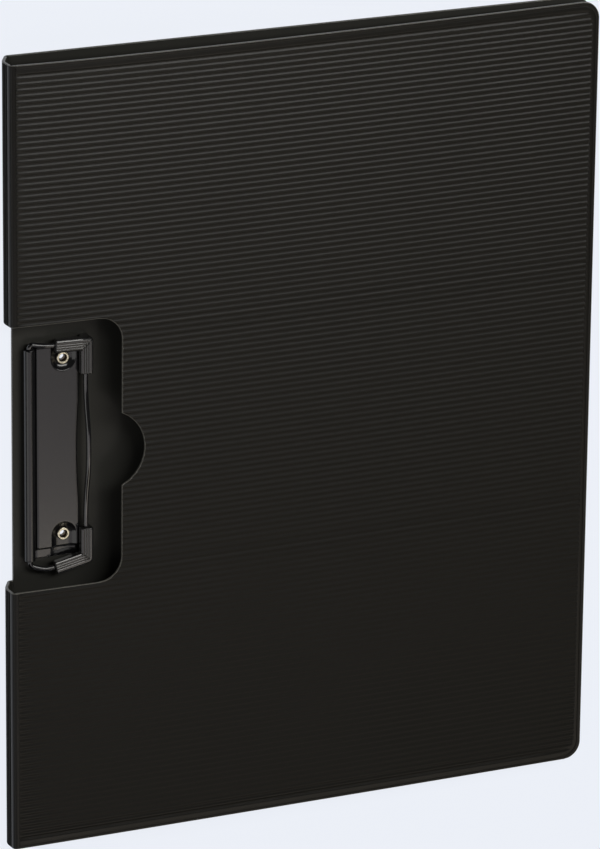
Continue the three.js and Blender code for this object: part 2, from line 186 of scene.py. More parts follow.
class StageSettings(bpy.types.PropertyGroup):
    """Camera, floor and lamps."""

    yaw: angle_prop("Yaw", "The camera's turn to the left of the folder", 23.0)
    pitch: angle_prop("Pitch", "The camera's rise towards the top of the page", 19.3)
    roll: angle_prop("Roll", "The camera's turn about its own line of sight", -0.6)
    distance: size_prop("Distance", "From the camera to its aim", 2331 * MM)
    lens: bpy.props.FloatProperty(
        name="Lens", description="Focal length", default=260.5, unit="CAMERA"
    )
    aim: bpy.props.FloatVectorProperty(
        name="Aim",
        description="The point that the camera looks at",
        default=(-3.5 * MM, 2.0 * MM, 14.5 * MM),
        subtype="XYZ",
        unit="LENGTH",
    )
    floor_colour: colour_prop("Floor colour", "The floor's even look", "#f3f7ff")
    board_colour: colour_prop("Board colour", "The floor's paint, where shadows fall", "#c9ccd3")
    evenness: bpy.props.FloatProperty(
        name="Evenness", description="Share of the floor's look that no shadow reaches", default=0.9
    )
    world_colour: colour_prop("World colour", "Plain light all round", "#f4f2ee")
    world_strength: bpy.props.FloatProperty(
        name="World strength", description="Strength of the plain light all round", default=0.07
    )


SETTINGS = {
    "clip_folder_sheet": SheetSettings,
    "clip_folder_window": WindowSettings,
    "clip_folder_clip": ClipSettings,
    "clip_folder_stage": StageSettings,
}


# Meshes

def smoothstep(low, high, value):
    """0 below low, 1 above high, and 3 t squared minus 2 t cubed between them."""
    t = np.clip((value - low) / (high - low), 0.0, 1.0)
    return t * t * (3.0 - 2.0 * t)


def hollow(offset):
    """A groove's depth as a share: half of one plus the cosine, 1 in the middle and 0 from offset 1 on."""
    return (1 + np.cos(math.pi * np.clip(offset, -1, 1))) / 2


def arc_radius(chord, depth):
    """Radius of the circle's arc with this chord and this depth."""
    return (chord ** 2 / 4 + depth ** 2) / (2 * depth)


def circle(angles):
    """Points on the unit circle at a list of angles."""
    return np.stack([np.cos(angles), np.sin(angles)], axis=1)


def quadratic(start, corner, end, t):
    """Points of the quadratic curve from start to end, pulled to the corner."""
    return (1 - t) ** 2 * start + 2 * t * (1 - t) * corner + t ** 2 * end


def lengths(line):
    """Length along a line of points up to each of them."""
    return np.concatenate([[0], np.cumsum(np.linalg.norm(np.diff(line, axis=0), axis=1))])


def unit(vectors):
    """Vectors along the last axis at length 1, and zero where they have no length."""
    length = np.linalg.norm(vectors, axis=-1, keepdims=True)
    return vectors / np.maximum(length, 1e-12)


def spaced(apart, *lists):
    """All values in order, without those nearer than apart to a value of an earlier list."""
    kept = np.asarray(lists[0], float)
    for values in lists[1:]:
        values = np.asarray(values, float)
        values = values[(values > kept.min()) & (values < kept.max())]
        clear = np.abs(values[:, None] - kept[None, :]).min(1) > apart
        kept = np.concatenate([kept, values[clear]])
    return np.sort(kept)


def outward(points, groups):
    """The groups of faces, turned round if the volume that they enclose comes out negative. The volume is
    the sum over fans of triangles of each face's corners, dotted and crossed, over six."""
    volume = 0.0
    for faces, _ in groups:
        corners = points[faces]
        for k in range(1, faces.shape[1] - 1):
            volume += (corners[:, 0] * np.cross(corners[:, k], corners[:, k + 1])).sum() / 6
    return [(faces[:, ::-1], finish) for faces, finish in groups] if volume < 0 else groups


def new_piece(name, points, groups, materials):
    """A smooth mesh object from points and groups of faces, each an array of one row a face and the number
    of its material. Points that no face uses are left out."""
    used = np.unique(np.concatenate([faces.ravel() for faces, _ in groups]))
    renumber = np.zeros(len(points), np.int64)
    renumber[used] = np.arange(len(used))
    corners = np.concatenate([renumber[faces].ravel() for faces, _ in groups])
    sizes = np.concatenate([np.full(len(faces), faces.shape[1]) for faces, _ in groups])
    starts = np.concatenate([[0], np.cumsum(sizes)[:-1]])
    finish = np.concatenate([np.full(len(faces), k) for faces, k in groups])
    mesh = bpy.data.meshes.new(name)
    mesh.vertices.add(len(used))
    mesh.vertices.foreach_set("co", points[used].astype(np.float32).ravel())
    mesh.loops.add(len(corners))
    mesh.loops.foreach_set("vertex_index", corners.astype(np.int32))
    mesh.polygons.add(len(sizes))
    mesh.polygons.foreach_set("loop_start", starts.astype(np.int32))
    mesh.polygons.foreach_set("material_index", finish.astype(np.int32))
    mesh.update(calc_edges=True)
    mesh.validate()
    mesh.shade_smooth()
    for material in materials:
        mesh.materials.append(material)
    obj = bpy.data.objects.new(name, mesh)
    bpy.context.scene.collection.objects.link(obj)
    return obj


def shell(name, first, second, keep, plain, radius, materials):
    """A closed sheet between two grids of points. Cells where keep is false are left open. Every edge is
    rounded: its rim follows two quarter circles of the radius joined by a straight line, pushed out from
    the edge, except where both ends of an edge are plain, which stays square to meet the next panel.
    The materials are those of the first face, the second face and the rim."""
    across = np.cross(first[1:, :-1] - first[:-1, :-1], first[:-1, 1:] - first[:-1, :-1])
    if ((first - second)[:-1, :-1] * across).sum() < 0:
        first, second, keep, plain = first[::-1], second[::-1], keep[::-1], plain[::-1]
    rows, columns = first.shape[:2]
    count = rows * columns
    index = np.arange(count).reshape(rows, columns)
    a, b = index[:-1, :-1][keep], index[1:, :-1][keep]
    c, d = index[1:, 1:][keep], index[:-1, 1:][keep]
    upper = np.stack([a, b, c, d], axis=1)
    lower = np.stack([a, d, c, b], axis=1) + count
    edges = np.concatenate([upper[:, [k, (k + 1) % 4]] for k in range(4)])
    lone = ~np.isin(edges[:, 0] * count + edges[:, 1], edges[:, 1] * count + edges[:, 0])
    start, end = edges[lone].T
    top = first.reshape(-1, 3)
    under = second.reshape(-1, 3)
    thick = top - under
    up = unit(thick)
    out = unit(np.cross(unit(top[end] - top[start]), up[start] + up[end]))
    out[plain.ravel()[start] & plain.ravel()[end]] = 0
    total, hits = np.zeros_like(top), np.zeros((count, 1))
    for side in (start, end):
        np.add.at(total, side, out)
        np.add.at(hits, side, (np.abs(out).sum(1, keepdims=True) > 0) * 1.0)
    both = (total ** 2).sum(1, keepdims=True)
    push = np.where(hits > 1, 2 * total / np.maximum(both, 0.5), total)
    turn = np.radians([60, 30, 0])
    reach = np.concatenate([np.cos(turn), np.cos(turn)[::-1]])
    drop = np.concatenate([1 - np.sin(turn), np.sin(turn)[::-1] - 1])
    from_top = np.array([1] * len(turn) + [0] * len(turn))
    rim = np.unique(np.concatenate([start, end]))
    place = np.zeros(count, np.int64)
    place[rim] = np.arange(len(rim))
    layers = [
        np.where(k, top[rim], under[rim]) + push[rim] * radius * r - up[rim] * radius * z
        for k, r, z in zip(from_top, reach, drop)
    ]
    steps = len(layers)
    ids = [index.ravel()]
    ids += [place + 2 * count + k * len(rim) for k in range(steps)]
    ids.append(index.ravel() + count)
    pairs = zip(ids[:-1], ids[1:])
    walls = [np.stack([a[end], a[start], b[start], b[end]], axis=1) for a, b in pairs]
    points = np.concatenate([top, under] + layers)
    groups = [(upper, 0), (lower, 1), (np.concatenate(walls), 2)]
    return new_piece(name, points, outward(points, groups), materials)


def marks(shape, square):
    """For a grid of points: which cells are kept, at first all, and which points lie on a square end, given
    as rows."""
    plain = np.zeros(shape[:2], bool)
    plain[square] = True
    return np.ones((shape[0] - 1, shape[1] - 1), bool), plain


def pierce(first, second, keep, centre, radius):
    """Cuts a round hole through both faces of a grid: cells whose middle lies within the radius go, and
    the points round them move straight out or in to the circle."""
    middle = (first[:-1, :-1] + first[1:, 1:]) / 2
    gone = np.hypot(middle[..., 0] - centre[0], middle[..., 1] - centre[1]) < radius
    touched = np.zeros(first.shape[:2], bool)
    held = np.zeros(first.shape[:2], bool)
    for i, j in ((0, 0), (1, 0), (0, 1), (1, 1)):
        block = (slice(i, i + gone.shape[0]), slice(j, j + gone.shape[1]))
        touched[block] |= gone
        held[block] |= ~gone
    edge = touched & held
    for face in (first, second):
        away = face[edge][:, :2] - np.array(centre)
        away = away / np.linalg.norm(away, axis=1, keepdims=True) * radius
        moved = face[edge]
        moved[:, :2] = np.array(centre) + away
        face[edge] = moved
    return keep & ~gone


def sweep(name, sections, material):
    """A closed skin through rings of points, one ring a row, with an n-sided face at either end."""
    stations, around = sections.shape[:2]
    index = np.arange(stations * around).reshape(stations, around)
    onward = np.roll(index, -1, axis=1)
    walls = np.stack([index[:-1], onward[:-1], onward[1:], index[1:]], axis=-1).reshape(-1, 4)
    points = sections.reshape(-1, 3)
    groups = [(walls, 0), (index[:1, ::-1], 0), (index[-1:], 0)]
    return new_piece(name, points, outward(points, groups), [material])


def bent_line(corners, reaches, fine):
    """Points along straight lines between corners, where each corner is replaced by a quadratic curve that
    starts and ends at its reach from the corner."""
    corners = np.asarray(corners, float)
    pieces = [corners[:1]]
    t = np.linspace(0, 1, fine)[:, None]
    for before, corner, after, reach in zip(corners, corners[1:], corners[2:], reaches):
        start = corner + unit(before - corner) * reach
        end = corner + unit(after - corner) * reach
        pieces.append(quadratic(start, corner, end, t))
    pieces.append(corners[-1:])
    return np.concatenate(pieces)


def resampled(line, step):
    """A line's points at an even spacing near the step, ends kept."""
    along = lengths(line)
    count = max(int(round(along[-1] / step)), 2) + 1
    at = np.linspace(0, along[-1], count)
    return np.stack([np.interp(at, along, line[:, k]) for k in range(line.shape[1])], axis=1)


# Materials

POLYPROPYLENE_IOR = 1.49
VINYL_IOR = 1.52


def add(tree, kind, inputs=None, **settings):
    """Adds a node with its settings; each input is linked if it is given a socket, and set if a value."""
    node = tree.nodes.new(kind)
    for name, value in settings.items():
        setattr(node, name, value)
    for name, value in (inputs or {}).items():
        if isinstance(value, bpy.types.NodeSocket):
            tree.links.new(value, node.inputs[name])
        else:
            node.inputs[name].default_value = value
    return node


def new_material(name, constants):
    """A material with what is the same all over it set on its Principled shader: the material, its tree,
    its shader and its Object coordinates."""
    material = bpy.data.materials.new(name)
    material.use_nodes = True
    tree = material.node_tree
    shader = tree.nodes["Principled BSDF"]
    for key, value in constants.items():
        shader.inputs[key].default_value = value
    place = add(tree, "ShaderNodeTexCoord").outputs["Object"]
    return material, tree, shader, place


def grained(tree, shader, place, size, detail, rough=None, dents=None):
    """Noise whose grain is size wide. Where rough is given, the roughness follows the noise between those
    two values; where dents are given, it dimples the surface at that strength and depth."""
    fields = {"Vector": place, "Scale": 1 / size, "Detail": detail}
    noise = add(tree, "ShaderNodeTexNoise", fields).outputs["Fac"]
    if rough:
        span = add(tree, "ShaderNodeMapRange", {"Value": noise, "To Min": rough[0], "To Max": rough[1]})
        tree.links.new(span.outputs["Result"], shader.inputs["Roughness"])
    if dents:
        fields = {"Height": noise, "Strength": dents[0], "Distance": dents[1]}
        bump = add(tree, "ShaderNodeBump", fields)
        tree.links.new(bump.outputs["Normal"], shader.inputs["Normal"])
    return noise


def mottled(tree, shader, noise, colour, spread):
    """The colour, made darker and lighter by up to the spread as the middle part of the noise goes."""
    fields = {"Value": noise, "From Min": 0.3, "From Max": 0.7, "To Min": 1 - spread, "To Max": 1 + spread}
    shade = add(tree, "ShaderNodeMapRange", fields)
    fields = {"Factor": 1.0, 6: colour[:], 7: shade.outputs["Result"]}
    mixed = add(tree, "ShaderNodeMix", fields, data_type="RGBA", blend_type="MULTIPLY")
    tree.links.new(mixed.outputs[2], shader.inputs["Base Color"])


def outer_polypropylene(name, sheet, rough, level):
    """Polypropylene sheet, calendered and embossed: a satin black with a fine sandy grain, a little warm,
    whose sheen breaks up in soft patches a few centimetres wide from handling."""
    constants = {"IOR": POLYPROPYLENE_IOR, "Specular IOR Level": level}
    material, tree, shader, place = new_material(name, constants)
    grained(tree, shader, place, 35 * MM, 2.0, rough=rough)
    grain = grained(tree, shader, place, 0.5 * MM, 3.0, dents=(0.35, 0.05 * MM))
    mottled(tree, shader, grain, sheet.outer_colour, 0.15)
    return material


def embossed_polypropylene(sheet):
    """The covers' outer face and the front crease, satin between and on the ribs."""
    return outer_polypropylene("embossed_polypropylene", sheet, (0.32, 0.4), 0.3)


def scored_polypropylene(sheet):
    """The outer face of the spine and the rear crease, which the scoring die leaves matt and dull."""
    return outer_polypropylene("scored_polypropylene", sheet, (0.5, 0.6), 0.06)


def polished_polypropylene(sheet):
    """The sheet's inner face, smooth from the polished roller: softly glossy, with a very shallow waviness
    that bends what it mirrors. Its base colour is the near-black sheet lightened to a dark grey, a painted
    sheen that stands in for part of its soft reflection."""
    constants = {"Base Color": sheet.inner_colour[:], "IOR": POLYPROPYLENE_IOR, "Specular IOR Level": 0.08}
    material, tree, shader, place = new_material("polished_polypropylene", constants)
    grained(tree, shader, place, 12 * MM, 1.0, dents=(0.25, 0.1 * MM))
    grained(tree, shader, place, 3 * MM, 4.0, rough=(0.2, 0.3))
    return material


def cut_polypropylene(sheet):
    """The sheet's die-cut edge: matt and paler than the faces, partly because the blade leaves it finely torn
    and partly as a painted highlight of the light that catches the edges, and mottled along its length."""
    constants = {"Roughness": 0.42, "IOR": POLYPROPYLENE_IOR}
    material, tree, shader, place = new_material("cut_polypropylene", constants)
    torn = grained(tree, shader, place, 0.8 * MM, 4.0)
    mottled(tree, shader, torn, sheet.edge_colour, 0.25)
    return material


def lacquered_steel(name, colour, size, rough, coat):
    """Steel under stoved black lacquer: a hard gloss with a faint orange-peel dimpling."""
    constants = {"Base Color": colour[:], "Coat Weight": coat, "Coat Roughness": 0.06}
    material, tree, shader, place = new_material(name, constants)
    grained(tree, shader, place, size, 2.0, rough=rough, dents=(0.2, 0.02 * MM))
    return material


def soft_vinyl(clip):
    """Soft vinyl, moulded over the wire: grey-black, with a skin that shines along its edges over a fine
    powdery grain."""
    constants = {"Base Color": clip.sleeve_colour[:], "IOR": VINYL_IOR}
    constants.update({"Coat Weight": 0.8, "Coat Roughness": 0.12})
    material, tree, shader, place = new_material("soft_vinyl", constants)
    grained(tree, shader, place, 0.35 * MM, 3.0, rough=(0.3, 0.42), dents=(0.1, 0.005 * MM))
    return material


def nickel_plated_brass(clip):
    """Nickel-plated brass, rolled over in setting: bright, a little yellow, with brownish tarnish in spots,
    and the same brown painted as shade below the head's crest, over the head's sides and down in the bore."""
    material, tree, shader, place = new_material("nickel_plated_brass", {"Metallic": 1.0})
    noise = grained(tree, shader, place, 1.2 * MM, 3.0, rough=(0.18, 0.42))
    # The height mask paints shade: from 0.15 mm below the head's crest the brass turns brown, fully from 0.6
    # mm down, over the head's sides, the funnel and the bore.
    height = add(tree, "ShaderNodeSeparateXYZ", {"Vector": place}).outputs["Z"]
    crest = EYELETS["upper_eyelet"][1].z
    fields = {"Value": height, "From Min": crest - 0.15 * MM, "From Max": crest - 0.6 * MM}
    low = add(tree, "ShaderNodeMapRange", fields)
    fields = {"Value": noise, "From Min": 0.55, "From Max": 0.8, "To Max": 0.6}
    spots = add(tree, "ShaderNodeMapRange", fields)
    fields = {0: low.outputs["Result"], 1: spots.outputs["Result"]}
    share = add(tree, "ShaderNodeMath", fields, operation="MAXIMUM")
    fields = {"Factor": share.outputs["Value"], 6: clip.eyelet_colour[:], 7: clip.tarnish_colour[:]}
    mixed = add(tree, "ShaderNodeMix", fields, data_type="RGBA")
    tree.links.new(mixed.outputs[2], shader.inputs["Base Color"])
    return material


def made_once(make, settings):
    """The material that a function of the same name makes, made on its first use."""
    return bpy.data.materials.get(make.__name__) or make(settings)


def sheet_materials(sheet, outer=embossed_polypropylene):
    """The three finishes of the sheet: outer face, inner face and cut edge."""
    return [made_once(make, sheet) for make in (outer, polished_polypropylene, cut_polypropylene)]


# The folded sheet

# The ribs fade out over these lengths at the border and at the crease. An eyelet's hole has this room round
# the barrel, and the slope of its seat starts and ends this far outside its head.
BORDER_FADE, CREASE_FADE = 0.5 * MM, 0.7 * MM
HOLE_ROOM = 0.2 * MM
SEAT_SLOPE = (0.1 * MM, 0.5 * MM)
# Rows and columns of the covers' grids lie at least this far apart, and the first columns at a panel's end
# lie at these distances from it.
ROW_GAP, COLUMN_GAP = 0.12 * MM, 0.14 * MM
FIRST_COLUMNS = np.array([0, 0.3, 1.2]) * MM


def front_face(x, y, sheet):
    """Height of the front cover's outer face: a straight fall from the crease to the fore-edge, plus a
    parabola across the cover, skewed to the crease, whose height grows from the bottom to the top."""
    across = np.clip(x / COVER_WIDTH, 0, 1)
    skewed = across ** sheet.bulge_skew
    rise = (y / HALF_HEIGHT + 1) / 2
    bulge = sheet.bulge_bottom + (sheet.bulge_top - sheet.bulge_bottom) * rise
    straight = SPINE_DEPTH + (FORE_EDGE_DEPTH - SPINE_DEPTH) * across
    return straight + bulge * 4 * skewed * (1 - skewed)


def inside_outline(x, y, side, end, sheet):
    """Distance of points inside a cover's rounded outline, drawn in by side and end; negative outside."""
    radius = sheet.corner_radius - side / 2
    across = x - (COVER_WIDTH - side - radius)
    along = np.abs(y) - (HALF_HEIGHT - end - radius)
    corner = np.hypot(np.maximum(across, 0), np.maximum(along, 0))
    return radius - corner - np.minimum(np.maximum(across, along), 0)


def rib_depth(x, y, left, sheet):
    """How far the embossed face lies below its crests: half the rib height times one minus the cosine of Y
    over the pitch, faded out in the borders, and a fine line along the border that dips as one plus the
    cosine of the distance from its middle."""
    wave = (1 - np.cos(2 * math.pi * y / sheet.rib_pitch)) / 2
    inner = inside_outline(x, y, sheet.side_border, sheet.end_border, sheet)
    fade = smoothstep(0, BORDER_FADE, inner) * smoothstep(0, CREASE_FADE, x - left)
    from_line = inside_outline(x, y, sheet.line_inset, sheet.line_inset, sheet)
    return sheet.rib_height * wave * fade + 0.5 * sheet.score_depth * hollow(from_line / sheet.line_width)


def cover_rows(sheet, window):
    """Heights of a cover's grid rows: six to a rib, and more round the corners, the window and the notch."""
    edge = sheet.edge_radius
    top = HALF_HEIGHT - edge
    quarter = np.sin(np.radians(np.linspace(0, 90, 12)))
    corner = HALF_HEIGHT - sheet.corner_radius + (sheet.corner_radius - edge) * quarter
    lists = [[-top, top, WINDOW_TOP + edge, WINDOW_BOTTOM - edge]]
    small = (window.corner_radius + edge) * quarter
    lists.append(WINDOW_TOP - window.corner_radius + small)
    lists.append(WINDOW_BOTTOM + window.corner_radius - small)
    lists += [corner, -corner]
    step = sheet.rib_pitch / 6
    lists.append(np.arange(-math.ceil(top / step), math.ceil(top / step)) * step)
    return spaced(ROW_GAP, *lists)


def fore_edge(y, sheet):
    """X of a cover's outer edge at each height, drawn in by the edge radius: straight, with round corners."""
    radius = sheet.corner_radius
    over = np.maximum(np.abs(y) - (HALF_HEIGHT - radius), 0)
    inner = radius - sheet.edge_radius
    return COVER_WIDTH - radius + np.sqrt(np.maximum(inner ** 2 - over ** 2, 0))


def window_edge(y, sheet, window):
    """X of the window's side at each height, moved into the cover by the edge radius: a straight side with
    round corners, or the notch's circle where that reaches further."""
    edge = sheet.edge_radius
    centre = (WINDOW_TOP + WINDOW_BOTTOM) / 2
    straight = (WINDOW_TOP - WINDOW_BOTTOM) / 2 - window.corner_radius
    over = np.maximum(np.abs(y - centre) - straight, 0)
    corner = window.corner_radius + edge
    side = window.width - window.corner_radius + np.sqrt(np.maximum(corner ** 2 - over ** 2, 0))
    radius = arc_radius(window.notch_chord, window.notch_depth)
    middle = window.width + window.notch_depth - radius
    reach = np.maximum((radius + edge) ** 2 - (y - window.notch_centre) ** 2, 0)
    return np.maximum(side, middle + np.sqrt(reach))


def crease_ends(sheet):
    """X where the covers' flat parts start, beyond the bends of the front and the rear crease."""
    return sheet.bend_reach, REAR.x - FRONT.x + sheet.bend_reach


def build_front_cover(sheet, window):
    """The front cover on a grid of rows along X: one block of columns beside the window, left open along
    it, and one from the window's side to the fore-edge, closer in the border with its fine line."""
    left = crease_ends(sheet)[0]
    y = cover_rows(sheet, window)
    beside = window.width - window.corner_radius
    wide = np.linspace(4 * MM, beside - left - 2 * MM, 8)
    first = np.concatenate([FIRST_COLUMNS, wide, [beside - left]])
    span = COVER_WIDTH - beside
    middle = np.linspace(7 * MM, span - 5 * MM, 26)
    outer = np.linspace(span - 3.4 * MM, span - 0.4 * MM, 19)
    ends = [span - 0.15 * MM, span]
    second = np.concatenate([FIRST_COLUMNS, [3.5 * MM], middle, outer, ends]) / span
    high, low = WINDOW_TOP + sheet.edge_radius, WINDOW_BOTTOM - sheet.edge_radius
    open_row = (y < high - 1e-7) & (y > low + 1e-7)
    inner = np.where(open_row, window_edge(y, sheet, window), beside)
    outer_x = fore_edge(y, sheet)
    block_a = left + np.repeat(first[:-1, None], len(y), axis=1)
    block_b = inner + (outer_x - inner) * second[:, None]
    x = np.concatenate([block_a, block_b])
    y = np.repeat(y[None, :], len(x), axis=0)
    smooth = front_face(x, y, sheet)
    crest = smooth - rib_depth(x, y, left, sheet)
    outside = np.stack([x + FRONT.x, y, crest], axis=-1)
    inside = np.stack([x + FRONT.x, y, smooth - SHEET], axis=-1)
    keep, plain = marks(x.shape, [0])
    keep[: len(first) - 1, open_row[:-1] | open_row[1:]] = False
    finish = sheet_materials(sheet)
    obj = shell("front_cover_sheet", outside, inside, keep, plain, sheet.edge_radius, finish)
    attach(obj, "cover")
    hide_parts("front_cover")


def build_back_cover(sheet, window, clip):
    """The back cover on a like grid, ribbed on its outer face, with the eyelets' holes, and a round seat
    pressed up into its outer face for the tail of each eyelet."""
    left = crease_ends(sheet)[1]
    y = cover_rows(sheet, window)
    near = left + FIRST_COLUMNS
    eyelet_x = EYELET_CENTRES[0][0] - FRONT.x
    round_hole = eyelet_x + np.linspace(-3.6, 3.6, 19) * MM
    outer = COVER_WIDTH - np.linspace(3.7, 0.7, 19) * MM
    wide = np.linspace(left + 4 * MM, COVER_WIDTH - 5 * MM, 28)
    ends = [[left, COVER_WIDTH - sheet.edge_radius], near, round_hole, outer]
    columns = spaced(COLUMN_GAP, *ends, [COVER_WIDTH - sheet.edge_radius - 0.3 * MM], wide)
    share = (columns - left) / (columns[-1] - left)
    x = left + (fore_edge(y, sheet) - left) * share[:, None]
    y = np.repeat(y[None, :], len(x), axis=0)
    seat_depth = np.zeros(x.shape)
    head = EYELETS["upper_eyelet"][1].x - FRONT.x - eyelet_x
    for centre in EYELET_CENTRES:
        away = np.hypot(x + FRONT.x - centre[0], y - centre[1])
        seat = clip.seat_depth * (1 - smoothstep(head + SEAT_SLOPE[0], head + SEAT_SLOPE[1], away))
        seat_depth = np.maximum(seat_depth, seat)
    ribs = rib_depth(x, y, left, sheet)
    outside = np.stack([x + FRONT.x, y, np.maximum(ribs, seat_depth)], axis=-1)
    inside = np.stack([x + FRONT.x, y, np.full(x.shape, SHEET)], axis=-1)
    keep, plain = marks(x.shape, [0])
    edge = sheet.edge_radius
    for centre in EYELET_CENTRES:
        keep = pierce(outside, inside, keep, centre, clip.bore + clip.eyelet_wall + HOLE_ROOM + edge)
    obj = shell("back_cover_sheet", outside, inside, keep, plain, edge, sheet_materials(sheet))
    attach(obj, "back")
    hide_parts("back_cover")


# The spine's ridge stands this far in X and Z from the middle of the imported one, and its bend takes this
# much of either face. Its score lines lie at these distances from the ridge, along the section.
RIDGE_SHIFT = (0.09 * MM, 0.35 * MM)
RIDGE_REACH = 2.5 * MM
SCORE_PLACES = (0.0, 1.1 * MM, 2.5 * MM)


def spine_line(sheet):
    """The middle line of the spine's section in X and Z: from the rear crease over the set ridge to the
    front crease, without the stretches that the two bends take."""
    ridge_x = UPPER_SPINE[0].x + SHEET / 2 + RIDGE_SHIFT[0]
    ridge = np.array([ridge_x, SPINE_DEPTH / 2 + RIDGE_SHIFT[1]])
    rear, front = (np.array([axis.x, axis.z]) for axis in (REAR, FRONT))
    start = rear + unit(ridge - rear) * sheet.bend_reach
    end = front + unit(ridge - front) * sheet.bend_reach
    return resampled(bent_line([start, ridge, end], [RIDGE_REACH], 16), 0.12 * MM)


def sides_of(line, half):
    """The two sides of a line in X and Z at half a thickness: the outer one lies on the left of the way."""
    along = unit(np.gradient(line, axis=0))
    normal = np.stack([-along[:, 1], along[:, 0]], axis=1)
    return line + normal * half, line - normal * half


def along_page(section, y):
    """A grid of points from a section in X and Z, which is the same at each height or has a column each."""
    if section.ndim == 2:
        section = np.repeat(section[:, None], len(y), axis=1)
    return np.stack([section[..., 0], np.repeat(y[None], len(section), axis=0), section[..., 1]], axis=-1)


def page_rows(low, high, edge):
    """Heights along a strip of the spine, close together near its ends, drawn in by the edge radius."""
    middle = np.linspace(low + 2 * MM, high - 2 * MM, 24)
    near = np.array([0, 0.3, 0.9]) * MM
    return np.concatenate([low + edge + near, middle, (high - edge - near)[::-1]])


def build_spine(name, node, low, high, sheet):
    """A spine panel: its section carried up the page, with three score lines beside the ridge that dip as
    one plus the cosine across their width."""
    line = spine_line(sheet)
    outer, inner = sides_of(line, SHEET / 2)
    along = lengths(line)
    ridge = along[np.argmin(line[:, 0])]
    dip = np.zeros(len(line))
    for offset in SCORE_PLACES:
        dip = np.maximum(dip, sheet.score_depth * hollow((along - ridge - offset) / sheet.score_width))
    outer = outer + unit(inner - outer) * dip[:, None]
    y = page_rows(low, high, sheet.edge_radius)
    outside, inside = along_page(outer, y), along_page(inner, y)
    keep, plain = marks(outside.shape, [0, -1])
    finish = sheet_materials(sheet, scored_polypropylene)
    obj = shell(name, outside, inside, keep, plain, sheet.edge_radius, finish)
    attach(obj, "spine")
    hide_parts(node)


# A crease's curve leaves either panel for this share of the gap. A slope is taken over the step.
CREASE_PULL = 0.56
SLOPE_STEP = 0.5 * MM


def crease_grid(start, toward, ends, away, sheet):
    """Both faces of a crease's bend. Its middle line at each height is a cubic curve from the end of one
    panel to the end of the other, leaving each along that panel, and its inner face comes in to leave
    the hinge's thickness half way round."""
    s = np.linspace(0, 1, 22)[:, None, None]
    pull = CREASE_PULL * np.linalg.norm(ends - start, axis=1).mean()
    a, b = start[None], (start + toward * pull)[None]
    c, d = (ends + away * pull)[None], ends[None]
    line = (1 - s) ** 3 * a + 3 * s * (1 - s) ** 2 * b + 3 * s ** 2 * (1 - s) * c + s ** 3 * d
    along = unit(3 * (1 - s) ** 2 * (b - a) + 6 * s * (1 - s) * (c - b) + 3 * s ** 2 * (d - c))
    normal = np.stack([-along[..., 1], along[..., 0]], axis=-1)
    thin = (SHEET - sheet.hinge_thickness) * np.sin(math.pi * s) ** 2
    return line + normal * SHEET / 2, line - normal * (SHEET / 2 - thin)


def build_crease(name, which, low, high, sheet):
    """A crease between two panels: a curved strip from the end of one to the end of the other."""
    y = page_rows(low, high, sheet.edge_radius)
    line = spine_line(sheet)
    rows = np.ones((len(y), 1))
    if which == "front":
        start, toward = rows * line[-1], rows * unit(line[-1] - line[-2])
        x = np.full(len(y), crease_ends(sheet)[0])
        ahead = front_face(x + SLOPE_STEP, y, sheet) - front_face(x, y, sheet)
        ends = np.stack([x + FRONT.x, front_face(x, y, sheet) - SHEET / 2], axis=1)
        away = -unit(np.stack([np.full(len(y), SLOPE_STEP), ahead], axis=1))
        outer_finish = embossed_polypropylene
    else:
        start = rows * np.array([crease_ends(sheet)[1] + FRONT.x, SHEET / 2])
        toward = rows * np.array([-1.0, 0.0])
        ends, away = rows * line[0], rows * unit(line[0] - line[1])
        outer_finish = scored_polypropylene
    outer, inner = (along_page(face, y) for face in crease_grid(start, toward, ends, away, sheet))
    if which == "front":
        inner[-1] = outer[-1] - [0, 0, SHEET]
    keep, plain = marks(outer.shape, [0, -1])
    materials = sheet_materials(sheet, outer_finish)
    obj = shell(name, outer, inner, keep, plain, sheet.edge_radius, materials)
    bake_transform(obj)


# The clip

def plate_section(clip):
    """The plate's middle line in X and Z: up the lip, along the deck, down into the groove, and round the
    channel, which is three quarters of a circle about the lever's axis."""
    half = clip.plate_thickness / 2
    low = PLATE[0].z + half
    hinge = np.array([LEVER.x, LEVER.z])
    channel = hinge[1] - low
    deck = SLEEVES["lower_sleeve"][0].z + clip.deck_rise - half
    right = PLATE[1].x - half
    left = FRONT.x + clip.plate_left + half
    corners = [
        (right, PLATE[0].z),
        (right, deck),
        (left, deck),
        (hinge[0] + channel + half, low),
        (hinge[0], low),
    ]
    straight = bent_line(corners, [clip.bend_radius, 0.6 * clip.bend_radius, 0.6 * clip.bend_radius], 10)
    curl = hinge + channel * circle(np.radians(-90 - np.linspace(4, 266, 50)))
    return resampled(np.concatenate([straight, curl]), 0.2 * MM), deck + half


# The plate's cut edges are rounded by a radius, and its rows lie closer over the spans at its two ends,
# where the dishes are. A dish fades out over these depths below the deck, the foot's rise and its side at
# the channel take these lengths, and the waist fades out over these distances from the right edge.
PLATE_EDGE = 0.3 * MM
FOOT_SPAN, HEAD_SPAN = 17 * MM, 13 * MM
DISH_FADE = (1.2 * MM, 0.9 * MM)
FOOT_RISE, FOOT_SIDE = 0.9 * MM, 0.4 * MM
WAIST_FADE = (5 * MM, 1 * MM)
BARREL_ROOM = 0.3 * MM


